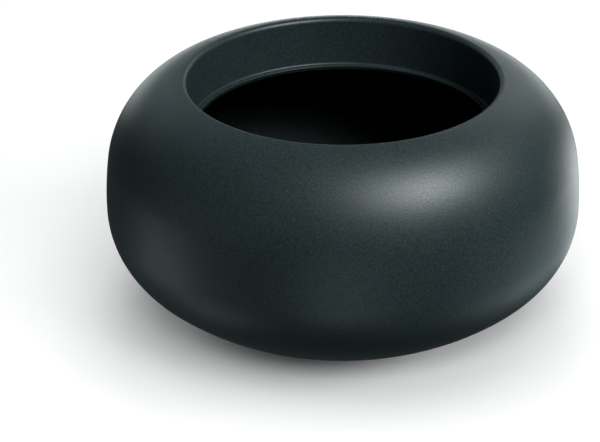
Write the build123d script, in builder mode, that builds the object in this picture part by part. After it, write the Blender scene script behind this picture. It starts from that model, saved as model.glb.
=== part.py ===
from build123d import *

import os
from math import cos, radians, sin

# Squat round planter bowl with a sunk collar, a screwed drain plug and rubber feet, in millimetres.
# The frame is +Z up, with the origin on the ground at the middle of the bowl.

# Shell: one hollow moulding, turned about +Z.
MAX_RADIUS = 250.0  # at the widest section
WALL = 4.0
# The bulge leaves the widest section upright and turns in by tangent arcs of (radius, degrees).
SHOULDER_ARCS = ((358.0, 8.6), (102.0, 49.8), (89.0, 21.7))
BELLY_ARCS = ((88.0, 46.9), (236.0, 27.0), (15.0, 16.1))
RIM_RADIUS = 5.0
COLLAR_DEPTH = 54.3  # from the crest of the rim down to the ledge
LEDGE_WIDTH = 7.0
LEDGE_CORNER = 2.0  # inside corner between collar and ledge
LEDGE_EDGE = 0.4  # rounding left on the ledge's trimmed edge

# Base: a flat standing ring round a raised middle.
RAISED_RADIUS = 66.0  # of the flat raised middle, on its underside
STEP_RADIUS = 10.0  # both arcs of the S-shaped step
STEP_TURN = 45.0
BOSS_RADIUS = 24.0  # thick pad of the floor that holds the drain bush
BOSS_HEIGHT = 6.0  # above the floor
BOSS_EDGE = 2.0

# Feet: round rubber pads glued into shallow pockets of the standing ring.
FOOT_COUNT = 6
FOOT_CIRCLE = 104.0
FOOT_RADIUS = 12.0
FOOT_POCKET = 1.5
FOOT_STAND = 2.0  # how far a foot stands below the shell
FOOT_EDGE = 0.8

# Drain: a threaded brass bush moulded into the floor, and the plug that screws into it from above.
BUSH_RADIUS = 15.0
BUSH_BORE = 11.05
BUSH_CHAMFER = 1.0
ANCHOR_RADIUS = 20.0  # across the corners of the hexagon that keys the bush in the plastic
ANCHOR_HEIGHT = 3.0
SEAL_RADIUS = 18.0
SEAL_BORE = 11.2
SEAL_HEIGHT = 2.5
SEAL_EDGE = 0.8
SHANK_RADIUS = 11.0
SHANK_CHAMFER = 1.5
FLANGE_RADIUS = 20.0
FLANGE_HEIGHT = 3.0
FLANGE_EDGE = 1.0
GRIP_LENGTH = 32.0
GRIP_WIDTH = 6.0
GRIP_HEIGHT = 11.0
GRIP_EDGE = 1.5


def rise(arcs):
    """Height that a chain of tangent arcs covers when it starts upright."""
    turned, height = 0.0, 0.0
    for radius, turn in arcs:
        height += radius * (sin(radians(turned + turn)) - sin(radians(turned)))
        turned += turn
    return height


def reach(arcs):
    """How far inwards the same chain goes."""
    turned, width = 0.0, 0.0
    for radius, turn in arcs:
        width += radius * (cos(radians(turned)) - cos(radians(turned + turn)))
        turned += turn
    return width


def bulge_line(arcs, inset, up):
    """Draw the chain on the shell's outer face, or inset from it, and return its last arc."""
    start, heading = (MAX_RADIUS - inset, widest_height), (0, up)
    for radius, turn in arcs:
        arc = JernArc(start=start, tangent=heading, radius=radius - inset, arc_size=up * turn)
        start, heading = arc @ 1, arc % 1
    return arc


# Heights and radii that follow from the driving sizes.
shoulder_turn = sum(turn for radius, turn in SHOULDER_ARCS)
widest_height = FOOT_STAND + rise(BELLY_ARCS)
rim_height = widest_height + rise(SHOULDER_ARCS) - RIM_RADIUS * sin(radians(shoulder_turn))
crest = rim_height + RIM_RADIUS
collar_radius = MAX_RADIUS - reach(SHOULDER_ARCS) - RIM_RADIUS * (1 + cos(radians(shoulder_turn)))
ledge_top = crest - COLLAR_DEPTH
ledge_radius = collar_radius - LEDGE_WIDTH
step_rise = 2 * STEP_RADIUS * (1 - cos(radians(STEP_TURN)))
step_run = 2 * STEP_RADIUS * sin(radians(STEP_TURN))
middle_under = FOOT_STAND + step_rise
floor_top = middle_under + WALL
boss_top = floor_top + BOSS_HEIGHT
anchor_bottom = middle_under + (boss_top - middle_under - ANCHOR_HEIGHT) / 2
flange_bottom = boss_top + SEAL_HEIGHT
flange_top = flange_bottom + FLANGE_HEIGHT

os.makedirs("parts", exist_ok=True)

# Drain bush: a tube with a hexagonal flange half way up, which the floor's plastic grips.
with BuildPart() as drain_bush:
    with BuildSketch(Plane.XY.offset(middle_under)):
        Circle(BUSH_RADIUS)
    extrude(amount=boss_top - middle_under)
    with BuildSketch(Plane.XY.offset(anchor_bottom)):
        RegularPolygon(radius=ANCHOR_RADIUS, side_count=6)
    extrude(amount=ANCHOR_HEIGHT)
    bush_blank = drain_bush.part
    with BuildSketch(Plane.XY.offset(middle_under)):
        Circle(BUSH_BORE)
    extrude(amount=boss_top - middle_under, mode=Mode.SUBTRACT)
    circles = drain_bush.edges().filter_by(GeomType.CIRCLE)
    lead_in = circles.filter_by(lambda e: e.radius == BUSH_BORE).sort_by(Axis.Z)[-1]
    chamfer(lead_in, BUSH_CHAMFER)
drain_bush.part.label = "drain_bush"
export_step(drain_bush.part, "parts/drain_bush.step")

# Bowl shell: bulge, rim, sunk collar with its ledge, and floor, all one wall.
with BuildPart() as bowl_shell:
    with BuildSketch(Plane.XZ):
        with BuildLine():
            # Outer face, up over the rim and down the collar to the trimmed edge of the ledge.
            shoulder = bulge_line(SHOULDER_ARCS, 0, 1)
            rim = JernArc(shoulder @ 1, shoulder % 1, RIM_RADIUS, 180 - shoulder_turn)
            collar = Line(rim @ 1, (collar_radius, ledge_top + LEDGE_CORNER))
            corner = JernArc(collar @ 1, (0, -1), LEDGE_CORNER, -90)
            ledge = Line(corner @ 1, (ledge_radius + LEDGE_EDGE, ledge_top))
            trim_top = JernArc(ledge @ 1, (-1, 0), LEDGE_EDGE, 90)
            trim = Line(trim_top @ 1, (ledge_radius, ledge_top - WALL + LEDGE_EDGE))
            trim_bottom = JernArc(trim @ 1, (0, -1), LEDGE_EDGE, 90)
            # Back along the hidden side of the ledge and collar to the inside of the shoulder.
            outer_corner = LEDGE_CORNER + WALL
            under = Line(trim_bottom @ 1, (collar_radius - LEDGE_CORNER, ledge_top - WALL))
            turn_up = JernArc(under @ 1, (1, 0), outer_corner, 90)
            collar_back = Line(turn_up @ 1, (collar_radius + WALL, rim_height))
            JernArc(collar_back @ 1, (0, 1), RIM_RADIUS - WALL, shoulder_turn - 180)
            bulge_line(SHOULDER_ARCS, WALL, 1)
            # Inner face of the belly and floor, stepping up to the raised middle and its boss.
            inner_belly = bulge_line(BELLY_ARCS, WALL, -1)
            inner_step = Line(inner_belly @ 1, (RAISED_RADIUS + step_run, FOOT_STAND + WALL))
            inner_foot = JernArc(inner_step @ 1, (-1, 0), STEP_RADIUS - WALL, -STEP_TURN)
            inner_head = JernArc(inner_foot @ 1, inner_foot % 1, STEP_RADIUS + WALL, STEP_TURN)
            floor = Line(inner_head @ 1, (BOSS_RADIUS, floor_top))
            boss_side = Line(floor @ 1, (BOSS_RADIUS, boss_top - BOSS_EDGE))
            boss_edge = JernArc(boss_side @ 1, (0, 1), BOSS_EDGE, 90)
            boss_face = Line(boss_edge @ 1, (0, boss_top))
            # Outer face of the floor and belly, back to the widest section.
            axis_line = Line(boss_face @ 1, (0, middle_under))
            middle = Line(axis_line @ 1, (RAISED_RADIUS, middle_under))
            head = JernArc(middle @ 1, (1, 0), STEP_RADIUS, -STEP_TURN)
            foot = JernArc(head @ 1, head % 1, STEP_RADIUS, STEP_TURN)
            belly = bulge_line(BELLY_ARCS, 0, -1)
            Line(foot @ 1, belly @ 1)
        make_face()
    revolve(axis=Axis.Z)
    add(bush_blank, mode=Mode.SUBTRACT)
    with BuildSketch(Plane.XY.offset(FOOT_STAND)):
        with PolarLocations(FOOT_CIRCLE, FOOT_COUNT):
            Circle(FOOT_RADIUS)
    extrude(amount=FOOT_POCKET, mode=Mode.SUBTRACT)
bowl_shell.part.label = "bowl_shell"
export_step(bowl_shell.part, "parts/bowl_shell.step")

# Plug seal: a flat rubber ring under the plug's flange.
with BuildPart() as plug_seal:
    with BuildSketch(Plane.XY.offset(boss_top)):
        Circle(SEAL_RADIUS)
        Circle(SEAL_BORE, mode=Mode.SUBTRACT)
    extrude(amount=SEAL_HEIGHT)
    circles = plug_seal.edges().filter_by(GeomType.CIRCLE)
    fillet(circles.filter_by(lambda e: e.radius == SEAL_RADIUS), SEAL_EDGE)
plug_seal.part.label = "plug_seal"
export_step(plug_seal.part, "parts/plug_seal.step")

# Drain plug: threaded shank, at the size of its fit in the bush, then a flange and a bar to turn it by.
with BuildPart() as drain_plug:
    with BuildSketch(Plane.XY.offset(middle_under)):
        Circle(SHANK_RADIUS)
    extrude(amount=flange_bottom - middle_under)
    chamfer(drain_plug.edges().sort_by(Axis.Z)[0], SHANK_CHAMFER)
    with BuildSketch(Plane.XY.offset(flange_bottom)):
        Circle(FLANGE_RADIUS)
    extrude(amount=FLANGE_HEIGHT)
    circles = drain_plug.edges().filter_by(GeomType.CIRCLE)
    upper_edge = circles.filter_by(lambda e: e.radius == FLANGE_RADIUS).sort_by(Axis.Z)[-1]
    fillet(upper_edge, FLANGE_EDGE)
    with BuildSketch(Plane.XY.offset(flange_top)):
        SlotOverall(GRIP_LENGTH, GRIP_WIDTH)
    extrude(amount=GRIP_HEIGHT)
    fillet(drain_plug.edges().group_by(Axis.Z)[-1], GRIP_EDGE)
drain_plug.part.label = "drain_plug"
export_step(drain_plug.part, "parts/drain_plug.step")

# Feet: one pad for each pocket.
foot_places = PolarLocations(FOOT_CIRCLE, FOOT_COUNT).local_locations
for number, place in enumerate(foot_places, start=1):
    with BuildPart() as rubber_foot:
        with BuildSketch(Plane(place.position)):
            Circle(FOOT_RADIUS)
        extrude(amount=FOOT_STAND + FOOT_POCKET)
        fillet(rubber_foot.edges().sort_by(Axis.Z)[0], FOOT_EDGE)
    name = f"rubber_foot_{number}"
    rubber_foot.part.label = name
    export_step(rubber_foot.part, f"parts/{name}.step")

print("widest at", round(widest_height, 2), "crest", round(crest, 2))
print("collar radius", round(collar_radius, 3), "ledge top", round(ledge_top, 2))
print("floor top", round(floor_top, 2), "boss top", round(boss_top, 2))
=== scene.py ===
from math import atan2, ceil, copysign, cos, pi, radians, sin

import bmesh
import bpy
from mathutils import Matrix, Vector


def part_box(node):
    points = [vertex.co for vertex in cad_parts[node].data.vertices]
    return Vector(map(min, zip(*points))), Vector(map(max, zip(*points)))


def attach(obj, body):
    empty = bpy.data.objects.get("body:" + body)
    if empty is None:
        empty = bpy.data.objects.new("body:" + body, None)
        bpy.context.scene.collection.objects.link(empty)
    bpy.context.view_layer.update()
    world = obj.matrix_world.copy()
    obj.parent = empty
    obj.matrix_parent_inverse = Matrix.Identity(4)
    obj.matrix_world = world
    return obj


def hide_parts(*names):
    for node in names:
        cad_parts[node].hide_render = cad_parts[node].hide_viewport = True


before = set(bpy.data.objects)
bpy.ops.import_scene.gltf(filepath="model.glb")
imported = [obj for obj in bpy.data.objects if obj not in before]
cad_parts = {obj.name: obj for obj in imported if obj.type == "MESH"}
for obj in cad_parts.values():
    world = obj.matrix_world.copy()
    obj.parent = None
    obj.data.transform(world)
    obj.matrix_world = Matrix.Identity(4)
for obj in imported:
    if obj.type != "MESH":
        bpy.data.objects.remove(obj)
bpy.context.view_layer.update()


# Bowl shell -------------------------------------------------------------------------------------
# One hollow moulding in anthracite plastic, coloured through, with a 4 mm wall. The bulge runs over a
# tight rim and down a straight collar, whose foot turns in to a narrow ledge and is trimmed there by
# knife. The mould's blasted inside leaves a fine matte grain on the outer face.

class Outline:
    """The half section of a turned piece, drawn in the XZ plane with lines and tangent arcs."""

    def __init__(self, radius, height, heading=0.0):
        self.mesh = bmesh.new()
        self.first = self.tip = self.mesh.verts.new((radius, 0, height))
        self.heading = radians(heading)

    def line(self, radius, height):
        """Go straight to a point."""
        start = self.tip.co.copy()
        self.tip = bmesh.ops.extrude_vert_indiv(self.mesh, verts=[self.tip])["verts"][0]
        self.tip.co = (radius, 0, height)
        self.heading = atan2(height - start.z, radius - start.x)
        return self

    def face(self, heading):
        """Point in a new direction: 0 is outwards and 90 is up."""
        self.heading = radians(heading)
        return self

    def arc(self, radius, turn, longest=0.004, widest=12):
        """Turn by a number of degrees, to the left if positive, in steps of limited length and angle."""
        angle = radians(turn)
        side = self.heading + copysign(pi / 2, angle)
        centre = self.tip.co + radius * Vector((cos(side), 0, sin(side)))
        steps = max(ceil(abs(turn) / widest), ceil(abs(angle) * radius / longest))
        made = bmesh.ops.spin(self.mesh, geom=[self.tip], cent=centre, axis=(0, -1, 0), angle=angle,
                              steps=steps, use_duplicate=False, use_merge=False)
        self.tip = next(v for v in made["geom_last"] if isinstance(v, bmesh.types.BMVert))
        self.heading += angle
        return self

    def turned(self, steps=96):
        """Close the section and spin it into a solid about +Z. A section on the axis closes itself."""
        if self.tip.co.x > 0 or self.first.co.x > 0:
            self.mesh.edges.new((self.tip, self.first))
        section = self.mesh.verts[:] + self.mesh.edges[:]
        bmesh.ops.spin(self.mesh, geom=section, cent=(0, 0, 0), axis=(0, 0, 1), angle=2 * pi,
                       steps=steps, use_duplicate=False, use_merge=True)
        bmesh.ops.remove_doubles(self.mesh, verts=self.mesh.verts[:], dist=1e-6)
        bmesh.ops.recalc_face_normals(self.mesh, faces=self.mesh.faces[:])
        return self.mesh


def smoothed(data, crease=40):
    """Shade a mesh smooth up to the crease angle."""
    data.shade_smooth()
    data.set_sharp_from_angle(angle=radians(crease))
    return data


def piece(name, mesh):
    """Make the finished object of a bmesh."""
    data = bpy.data.meshes.new(name)
    mesh.to_mesh(data)
    mesh.free()
    made = bpy.data.objects.new(name, smoothed(data))
    bpy.context.scene.collection.objects.link(made)
    return made


def combine(made, other_mesh, operation):
    """Join a second solid to a piece, or cut it away, and keep only the result."""
    other = piece("other_solid", other_mesh)
    boolean = made.modifiers.new("combine", "BOOLEAN")
    boolean.object, boolean.operation, boolean.solver = other, operation, "EXACT"
    ready = made.evaluated_get(bpy.context.evaluated_depsgraph_get())
    result = bpy.data.meshes.new_from_object(ready)
    made.modifiers.clear()
    made.data = smoothed(result)
    bpy.data.objects.remove(other)


widest_radius = 0.250
wall = 0.004
shoulder_arcs = ((0.358, 8.6), (0.102, 49.8), (0.089, 21.7))
belly_arcs = ((0.088, 46.9), (0.236, 27.0), (0.015, 16.1))
rim_round = 0.005
collar_depth = 0.0543
ledge_width = 0.007
ledge_corner = 0.002
ledge_edge = 0.0004
raised_radius = 0.066
step_round = 0.010
step_turn = 45
boss_radius = 0.024
boss_edge = 0.002
bush_low, bush_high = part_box("drain_bush")
bush_radius = 0.015
shell_low, shell_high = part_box("bowl_shell")


def rise(arcs):
    """Height that tangent arcs cover from an upright start."""
    turned, height = 0.0, 0.0
    for radius, turn in arcs:
        height += radius * (sin(radians(turned + turn)) - sin(radians(turned)))
        turned += turn
    return height


def reach(arcs):
    """How far inwards tangent arcs go from an upright start."""
    turned, width = 0.0, 0.0
    for radius, turn in arcs:
        width += radius * (cos(radians(turned)) - cos(radians(turned + turn)))
        turned += turn
    return width


shoulder_turn = sum(turn for radius, turn in shoulder_arcs)
widest_height = shell_low.z + rise(belly_arcs)
collar_radius = widest_radius - reach(shoulder_arcs) - rim_round * (1 + cos(radians(shoulder_turn)))
ledge_top = shell_high.z - collar_depth
ledge_radius = collar_radius - ledge_width
floor_top = bush_low.z + wall
step_run = 2 * step_round * sin(radians(step_turn))

shell = Outline(bush_radius, bush_low.z)
shell.line(raised_radius, bush_low.z)
shell.arc(step_round, -step_turn).arc(step_round, step_turn)
base_reach = widest_radius - reach(belly_arcs)
shell.line(base_reach, shell_low.z)
for radius, turn in reversed(belly_arcs):
    shell.arc(radius, turn)
for radius, turn in shoulder_arcs:
    shell.arc(radius, turn)
shell.arc(rim_round, 180 - shoulder_turn, widest=9)
shell.line(collar_radius, ledge_top + ledge_corner)
shell.arc(ledge_corner, -90)
shell.line(ledge_radius + ledge_edge, ledge_top)
shell.arc(ledge_edge, 90)
shell.line(ledge_radius, ledge_top - wall + ledge_edge)
shell.arc(ledge_edge, 90)
shell.line(collar_radius - ledge_corner, ledge_top - wall)
shell.arc(ledge_corner + wall, 90)
shell.line(collar_radius + wall, shell_high.z - rim_round)
shell.arc(rim_round - wall, shoulder_turn - 180)
for radius, turn in reversed(shoulder_arcs):
    shell.arc(radius - wall, -turn)
for radius, turn in belly_arcs:
    shell.arc(radius - wall, -turn)
shell.line(raised_radius + step_run, shell_low.z + wall)
shell.arc(step_round - wall, -step_turn).arc(step_round + wall, step_turn)
shell.line(boss_radius, floor_top)
shell.line(boss_radius, bush_high.z - boss_edge)
shell.arc(boss_edge, 90)
shell.line(bush_radius, bush_high.z)
bowl = piece("bowl_moulding", shell.turned(steps=288))

# Pockets for the feet in the standing ring, and the keyed hollow in the boss that grips the bush.
foot_names = [f"rubber_foot_{number}" for number in range(1, 7)]
foot_steps = 64
pockets = bmesh.new()
for name in foot_names:
    low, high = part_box(name)
    middle = Matrix.Translation((low + high) / 2)
    radius = (high.x - low.x) / 2
    bmesh.ops.create_cone(pockets, cap_ends=True, segments=foot_steps, radius1=radius, radius2=radius,
                          depth=high.z - low.z, matrix=middle)
anchor_radius = 0.020
anchor_height = 0.003


def add_anchor(mesh):
    """Add the bush's hexagonal flange, or the hollow for it, half way up the boss."""
    half_way = Matrix.Translation((0, 0, (bush_low.z + bush_high.z) / 2))
    bmesh.ops.create_cone(mesh, cap_ends=True, segments=6, radius1=anchor_radius, radius2=anchor_radius,
                          depth=anchor_height, matrix=half_way @ Matrix.Rotation(pi / 2, 4, "Z"))


add_anchor(pockets)
combine(bowl, pockets, "DIFFERENCE")


class Socket:
    """An output in a material's nodes. Arithmetic on it adds Math nodes."""

    def __init__(self, recipe, output):
        self.recipe, self.output = recipe, output

    def math(self, operation, *values):
        return self.recipe.node("ShaderNodeMath", {"operation": operation}, dict(enumerate(values)))

    def __add__(self, other):
        return self.math("ADD", self, other)

    def __radd__(self, other):
        return self.math("ADD", other, self)

    def __sub__(self, other):
        return self.math("SUBTRACT", self, other)

    def __rsub__(self, other):
        return self.math("SUBTRACT", other, self)

    def __mul__(self, other):
        return self.math("MULTIPLY", self, other)

    def __rmul__(self, other):
        return self.math("MULTIPLY", other, self)

    def __pow__(self, other):
        return self.math("POWER", self, other)


class Recipe:
    """One material: a Principled shader and the nodes that feed it."""

    def __init__(self, name, **constants):
        self.material = bpy.data.materials.new(name)
        self.material.use_nodes = True
        self.nodes, self.links = self.material.node_tree.nodes, self.material.node_tree.links
        self.shader = self.nodes["Principled BSDF"]
        for socket, value in constants.items():
            self.shader.inputs[socket.replace("_", " ")].default_value = value
        self.place = self.node("ShaderNodeTexCoord", {}, {}, "Object")

    def node(self, kind, settings, inputs, output=0):
        """Add a node. Its settings go first, a ramp's stops among them, and then its values and links."""
        made = self.nodes.new(kind)
        for name, value in settings.items():
            if name == "stops":
                for stop, (position, colour) in zip(made.color_ramp.elements, value):
                    stop.position, stop.color = position, (*colour, 1)
            else:
                setattr(made, name, value)
        for name, value in inputs.items():
            if isinstance(value, Socket):
                self.links.new(value.output, made.inputs[name])
            else:
                made.inputs[name].default_value = value
        return Socket(self, made.outputs[output])

    def noise(self, scale, detail=2.0, roughness=0.5):
        """A soft random pattern, with a given number of blotches to the metre."""
        inputs = {"Vector": self.place, "Scale": scale, "Detail": detail, "Roughness": roughness}
        return self.node("ShaderNodeTexNoise", {}, inputs)

    def parts(self, vector):
        """The X, Y and Z of a vector."""
        first = self.node("ShaderNodeSeparateXYZ", {}, {"Vector": vector})
        return [Socket(self, output) for output in first.output.node.outputs]

    def shades(self, mask, dark, light, low=0.0, high=1.0):
        """A colour that goes from dark to light with a mask."""
        stops = ((low, dark), (high, light))
        return self.node("ShaderNodeValToRGB", {"stops": stops}, {"Fac": mask})

    def bump(self, height, distance):
        """A relief with a depth in metres."""
        inputs = {"Height": height, "Distance": distance, "Strength": 1.0}
        return self.node("ShaderNodeBump", {}, inputs)

    def feed(self, **links):
        """Link the shader's sockets, and hand over the finished material."""
        for socket, value in links.items():
            self.links.new(value.output, self.shader.inputs[socket.replace("_", " ")])
        return self.material


def moulded_finish(name, dark, light, roughness, relief, gloss):
    """The moulding's plastic: fine speckle in the colour, and a sandy grain in the surface."""
    plastic = Recipe(name, Specular_IOR_Level=gloss)
    grain = plastic.noise(620, detail=2, roughness=0.6)
    speckle = plastic.noise(560, detail=1)
    cloud = plastic.noise(14, detail=3)
    colour = plastic.shades(0.85 * speckle + 0.15 * cloud, dark, light, 0.36, 0.64)
    return plastic.feed(Base_Color=colour, Roughness=roughness + 0.08 * cloud + 0.16 * (grain - 0.5),
                        Normal=plastic.bump(grain, relief))


# The outer face copies the blasted mould. The inner face formed freely and is rougher; its colour is
# painted far darker than the outside's, as painted shade in the hollow below the ledge.
outside = moulded_finish("anthracite_outside", dark=(0.0100, 0.0180, 0.0196),
                         light=(0.0225, 0.0342, 0.0366), roughness=0.41, relief=0.00013, gloss=0.5)
inside_with_painted_shade = moulded_finish("anthracite_inside_painted_shade", dark=(0.0022, 0.0050, 0.0050),
                        light=(0.0065, 0.0110, 0.0108), roughness=0.60, relief=0.00060, gloss=0.15)
bowl.data.materials.append(outside)
bowl.data.materials.append(inside_with_painted_shade)
# The faces of the hollow below the ledge take the inside material, whose darker colour is painted shade.
cavity_middle = Vector((0, 0, widest_height))
for polygon in bowl.data.polygons:
    faces_cavity = polygon.normal.dot(cavity_middle - polygon.center) > 0
    polygon.material_index = int(faces_cavity and polygon.center.z < ledge_top - wall / 2)
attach(bowl, "bowl")
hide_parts("bowl_shell")


# Drain bush -------------------------------------------------------------------------------------
# A turned brass tube, moulded into the boss of the floor. A hexagonal flange half way up keys it in the
# plastic, and its bore has a coarse right-hand thread of 3 mm pitch with a chamfered mouth at each end.

thread_pitch = 0.003
thread_start = bush_low.z + 0.002
bush_bore = 0.01045
bush_groove = 0.01175
bush_chamfer = 0.001
thread_overlap = 0.0005


def thread_ridge(root, crest, bottom, turns, flank, flat, steps=48):
    """A thread's ridge, a trapezium wound up the Z axis.

    Half its width is a share of the pitch: flank at the root and flat at the crest."""
    ridge = bmesh.new()
    corners = ((root, -flank), (crest, -flat), (crest, flat), (root, flank))
    verts = [ridge.verts.new((radius, 0, bottom + share * thread_pitch)) for radius, share in corners]
    section = ridge.faces.new(verts)
    bmesh.ops.spin(ridge, geom=verts + section.edges[:] + [section], cent=(0, 0, 0), axis=(0, 0, 1),
                   dvec=(0, 0, thread_pitch / steps), angle=2 * pi * turns, steps=int(steps * turns),
                   use_duplicate=False, use_merge=False)
    bmesh.ops.recalc_face_normals(ridge, faces=ridge.faces[:])
    return ridge


hexagon = bmesh.new()
add_anchor(hexagon)
bush = piece("brass_bush", hexagon)
barrel = Outline(0, bush_low.z)
barrel.line(bush_radius, bush_low.z).line(bush_radius, bush_high.z).line(0, bush_high.z)
combine(bush, barrel.turned(), "UNION")
bore = Outline(0, bush_low.z - bush_chamfer)
bore.line(bush_bore + 2 * bush_chamfer, bush_low.z - bush_chamfer)
bore.line(bush_bore, bush_low.z + bush_chamfer).line(bush_bore, bush_high.z - bush_chamfer)
bore.line(bush_bore + 2 * bush_chamfer, bush_high.z + bush_chamfer).line(0, bush_high.z + bush_chamfer)
combine(bush, bore.turned(), "DIFFERENCE")
groove = thread_ridge(bush_bore - thread_overlap, bush_groove, bottom=thread_start - 2 * thread_pitch,
                      turns=6, flank=0.44, flat=0.19)
combine(bush, groove, "DIFFERENCE")

brass = Recipe("turned_brass", Metallic=1.0)
along_x, along_y, along_z = brass.parts(brass.place)
across = (along_x * along_x + along_y * along_y) ** 0.5
turning = brass.node("ShaderNodeTexNoise", {"noise_dimensions": "1D"},
                     {"W": across + along_z, "Scale": 2600.0, "Detail": 2.0})
tarnish = brass.noise(160, detail=3)
brass_colour = brass.shades(tarnish, (0.30, 0.19, 0.075), (0.62, 0.44, 0.19), 0.35, 0.70)
bush.data.materials.append(brass.feed(Base_Color=brass_colour, Roughness=0.26 + 0.30 * tarnish,
                                      Normal=brass.bump(turning, 0.00003)))
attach(bush, "bowl")
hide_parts("drain_bush")


# Drain plug -------------------------------------------------------------------------------------
# Injection moulded in black plastic: a threaded shank, a round flange with a fluted edge, and a flat bar
# across the top to turn it by. It screws down from inside the bowl onto its seal.

plug_low, plug_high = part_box("drain_plug")
seal_low, seal_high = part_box("plug_seal")
plug_core = 0.01030
plug_crest = 0.01160
plug_chamfer = 0.0012
flange_radius = 0.020
flange_height = 0.003
flange_round = 0.001
flange_flat = 0.0182
flute_count = 24
flute_depth = 0.0007
bar_length = 0.032
bar_width = 0.006
bar_end_round = 0.48 * bar_width
bar_round = 0.0014

stem = Outline(0, plug_low.z)
stem.line(plug_core - plug_chamfer, plug_low.z).line(plug_core, plug_low.z + plug_chamfer)
stem.line(plug_core, seal_high.z).line(flange_flat, seal_high.z)
stem.line(flange_radius - flange_round / 2, seal_high.z)
stem.line(flange_radius, seal_high.z + flange_round / 2)
stem.line(flange_radius, seal_high.z + flange_height - flange_round).arc(flange_round, 90)
stem.line(flange_flat, seal_high.z + flange_height).line(0, seal_high.z + flange_height)
stem_mesh = stem.turned(steps=8 * flute_count)
for vert in stem_mesh.verts:
    reach_out = vert.co.xy.length
    if reach_out > flange_radius - flange_round:
        wave = 0.5 - 0.5 * cos(flute_count * atan2(vert.co.y, vert.co.x))
        vert.co.xy *= 1 - wave ** 2 * flute_depth / reach_out
plug = piece("plug_moulding", stem_mesh)
ridge = thread_ridge(plug_core - thread_overlap, plug_crest, bottom=thread_start, turns=2.5,
                     flank=0.40, flat=0.15)
combine(plug, ridge, "UNION")
bar = bmesh.new()
bar_bottom = seal_high.z + flange_height / 2
bar_size = Matrix.Diagonal((bar_length, bar_width, plug_high.z - bar_bottom, 1))
bar_middle = Matrix.Translation((0, 0, (plug_high.z + bar_bottom) / 2))
bmesh.ops.create_cube(bar, size=1, matrix=bar_middle @ bar_size)
upright = [edge for edge in bar.edges if abs(edge.verts[0].co.z - edge.verts[1].co.z) > bar_width / 2]
bmesh.ops.bevel(bar, geom=upright, offset=bar_end_round, segments=10, profile=0.5, affect="EDGES",
                material=-1)
top = [edge for edge in bar.edges if min(vert.co.z for vert in edge.verts) > plug_high.z - bar_round / 2]
bmesh.ops.bevel(bar, geom=top, offset=bar_round, segments=5, profile=0.5, affect="EDGES", material=-1)
combine(plug, bar, "UNION")

satin = Recipe("black_moulding")
spark = satin.noise(1500, detail=2)
flow = satin.noise(90, detail=2)
satin_colour = satin.shades(0.6 * flow + 0.4 * spark, (0.0060, 0.0065, 0.0070), (0.0125, 0.0130, 0.0140),
                            0.35, 0.65)
plug.data.materials.append(satin.feed(Base_Color=satin_colour, Roughness=0.30 + 0.18 * flow,
                                      Normal=satin.bump(spark, 0.00004)))
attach(plug, "plug")
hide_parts("drain_plug")


# Plug seal --------------------------------------------------------------------------------------
# A flat ring punched from black rubber, with its outer corners rounded by the press. It stays on the
# plug's shank and is squeezed between the flange and the boss.

seal_bore = 0.0122
seal_radius = 0.018
seal_round = 0.0008

ring = Outline(seal_bore, seal_low.z)
ring.line(seal_radius - seal_round, seal_low.z).arc(seal_round, 90)
ring.line(seal_radius, seal_high.z - seal_round).arc(seal_round, 90)
ring.line(seal_bore, seal_high.z)
seal = piece("rubber_seal", ring.turned())

soft = Recipe("seal_rubber_black")
bloom = soft.noise(240, detail=4, roughness=0.6)
soft_colour = soft.shades(bloom, (0.006, 0.006, 0.006), (0.018, 0.018, 0.017), 0.40, 0.75)
seal.data.materials.append(soft.feed(Base_Color=soft_colour, Roughness=0.50 + 0.25 * bloom,
                                     Normal=soft.bump(bloom, 0.00005)))
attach(seal, "seal_carrier")
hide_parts("plug_seal")


# Rubber feet ------------------------------------------------------------------------------------
# Six pads of dark grey rubber, glued into the pockets of the standing ring. Two grooves are moulded in
# each tread, so that wet paving can't hold it by suction.

foot_round = 0.0008
groove_round = 0.0006
groove_radii = (0.0045, 0.0085)

tread = Recipe("foot_rubber_grey")
dust = tread.noise(420, detail=4, roughness=0.65)
tread_colour = tread.shades(dust, (0.016, 0.016, 0.017), (0.045, 0.044, 0.042), 0.38, 0.72)
tread_finish = tread.feed(Base_Color=tread_colour, Roughness=0.70 + 0.20 * dust,
                          Normal=tread.bump(dust, 0.00008))
feet = []
for name in foot_names:
    low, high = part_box(name)
    foot_radius = (high.x - low.x) / 2
    pad = Outline(0, low.z)
    for groove_radius in groove_radii:
        pad.line(groove_radius - groove_round, low.z).face(90).arc(groove_round, -180, widest=30)
    pad.line(foot_radius - foot_round, low.z).arc(foot_round, 90)
    pad.line(foot_radius, high.z).line(0, high.z)
    pad_mesh = pad.turned(steps=foot_steps)
    pad_place = ((low.x + high.x) / 2, (low.y + high.y) / 2, 0)
    bmesh.ops.translate(pad_mesh, vec=pad_place, verts=pad_mesh.verts[:])
    foot = piece(name + "_pad", pad_mesh)
    foot.data.materials.append(tread_finish)
    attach(foot, "bowl")
    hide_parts(name)
    feet.append(foot)


# Studio -----------------------------------------------------------------------------------------
# A pale paper floor with its own wide lights, and for the bowl one soft box high on the right, with
# weaker ones round it that draw its edges. Nothing here is part of the bowl.

floor_half_width = 12
floor_mesh = bmesh.new()
bmesh.ops.create_grid(floor_mesh, x_segments=1, y_segments=1, size=floor_half_width)
floor = piece("studio_floor", floor_mesh)
paper = Recipe("white_paper", Roughness=0.9, Specular_IOR_Level=0.1)
paper_tint = paper.shades(paper.noise(3), (0.86, 0.86, 0.86), (0.90, 0.90, 0.90))
floor.data.materials.append(paper.feed(Base_Color=paper_tint))
floor.visible_glossy = False
floor.visible_diffuse = False
floor.visible_shadow = False

lit_floor = bpy.data.collections.new("lit_floor")
lit_floor.objects.link(floor)
lit_bowl = bpy.data.collections.new("lit_bowl")
for made in (bowl, bush, plug, seal, *feet):
    lit_bowl.objects.link(made)

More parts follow.
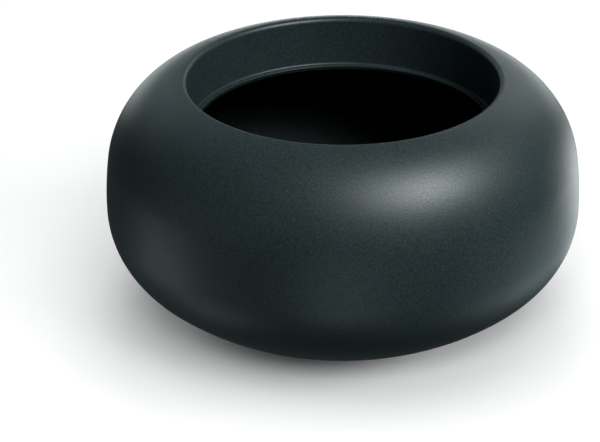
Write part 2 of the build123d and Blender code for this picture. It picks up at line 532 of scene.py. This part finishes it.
world = bpy.data.worlds.new("studio")
bpy.context.scene.world = world
world.use_nodes = True
backdrop = world.node_tree.nodes["Background"]
backdrop.inputs["Color"].default_value = (0.85, 1, 1, 1)
backdrop.inputs["Strength"].default_value = 0.06


def soft_box(name, lit, tint, at, size, power):
    """A rectangular light that looks at the bowl and lights one collection.

    It stands at an azimuth, 0 in front and 90 on the right, an elevation and a distance. Its size is its
    width and height, and its power is in watts."""
    azimuth, elevation, distance = at
    light = bpy.data.lights.new(name, "AREA")
    light.shape = "RECTANGLE"
    light.size, light.size_y = size
    light.energy = power
    light.color = tint
    lamp = bpy.data.objects.new(name, light)
    bpy.context.scene.collection.objects.link(lamp)
    around = Matrix.Rotation(radians(azimuth), 4, "Z") @ Matrix.Rotation(radians(90 - elevation), 4, "X")
    middle = Matrix.Translation((0, 0, widest_height))
    lamp.matrix_world = middle @ around @ Matrix.Translation((0, 0, distance))
    lamp.visible_camera = False
    lamp.light_linking.receiver_collection = lit


cool = (0.93, 1.0, 1.0)
soft_box("key", lit_bowl, cool, at=(51, 51.5, 2.2), size=(1.05, 0.85), power=57)
soft_box("back_right", lit_bowl, cool, at=(155, 22, 2.5), size=(1.5, 1.2), power=7.3)
soft_box("back_strip", lit_bowl, cool, at=(180, -4, 2.5), size=(3.0, 0.4), power=16)
soft_box("right_edge", lit_bowl, cool, at=(132, -12, 2.5), size=(0.8, 1.0), power=6.6)
soft_box("right_edge_low", lit_bowl, cool, at=(142, -22, 2.5), size=(0.8, 1.0), power=7.0)

board_blue = (0.80, 1.0, 1.04)
soft_box("back_left", lit_bowl, board_blue, at=(-165, 18, 2.5), size=(1.2, 1.0), power=2.2)
soft_box("back_left_side", lit_bowl, board_blue, at=(-140, 25, 2.5), size=(1.2, 1.2), power=2.3)
soft_box("left_board", lit_bowl, board_blue, at=(-88, -24, 2.5), size=(1.2, 0.8), power=3.9)
soft_box("left_board_front", lit_bowl, board_blue, at=(-70, -45, 2.5), size=(1.2, 0.8), power=2.5)
soft_box("left_level", lit_bowl, board_blue, at=(-70, 3, 2.5), size=(2.0, 0.8), power=1.5)
soft_box("front_board", lit_bowl, board_blue, at=(0, -25, 2.5), size=(1.0, 1.2), power=4.2)
soft_box("right_board_low", lit_bowl, board_blue, at=(85, -38, 2.5), size=(1.6, 1.0), power=3.8)
soft_box("right_board_back", lit_bowl, board_blue, at=(110, -32, 2.5), size=(1.2, 1.0), power=4.6)

neutral = (1.0, 1.0, 1.0)
soft_box("floor_top", lit_floor, neutral, at=(0, 90, 3.0), size=(4.0, 4.0), power=68)
soft_box("floor_right_low", lit_floor, neutral, at=(70, 20, 3.0), size=(3.0, 1.0), power=84)
soft_box("floor_front", lit_floor, neutral, at=(0, 40, 3.0), size=(1.5, 0.8), power=28)
soft_box("floor_front_right", lit_floor, neutral, at=(30, 45, 3.0), size=(1.0, 1.0), power=15)
soft_box("floor_left", lit_floor, neutral, at=(-90, 30, 3.0), size=(2.0, 2.0), power=29)
soft_box("floor_back", lit_floor, neutral, at=(180, 50, 3.0), size=(1.5, 1.5), power=19)

# The camera stands 1.94 m away, 27 degrees above the widest part of the bowl.
view_distance = 1.9375
view_elevation = radians(27.04)
eye = Vector((0, -cos(view_elevation), sin(view_elevation))) * view_distance
look_at = Vector((0, 0, widest_height))
camera_data = bpy.data.cameras.new("camera")
camera_data.sensor_width = 36
camera_data.lens = 108.93
camera_data.shift_x = -0.0715
camera_data.shift_y = -0.0446
camera = bpy.data.objects.new("camera", camera_data)
bpy.context.scene.collection.objects.link(camera)
camera.location = look_at + eye
camera.rotation_euler = (-eye).to_track_quat("-Z", "Y").to_euler()
bpy.context.scene.camera = camera
bpy.context.scene.view_settings.view_transform = "Standard"
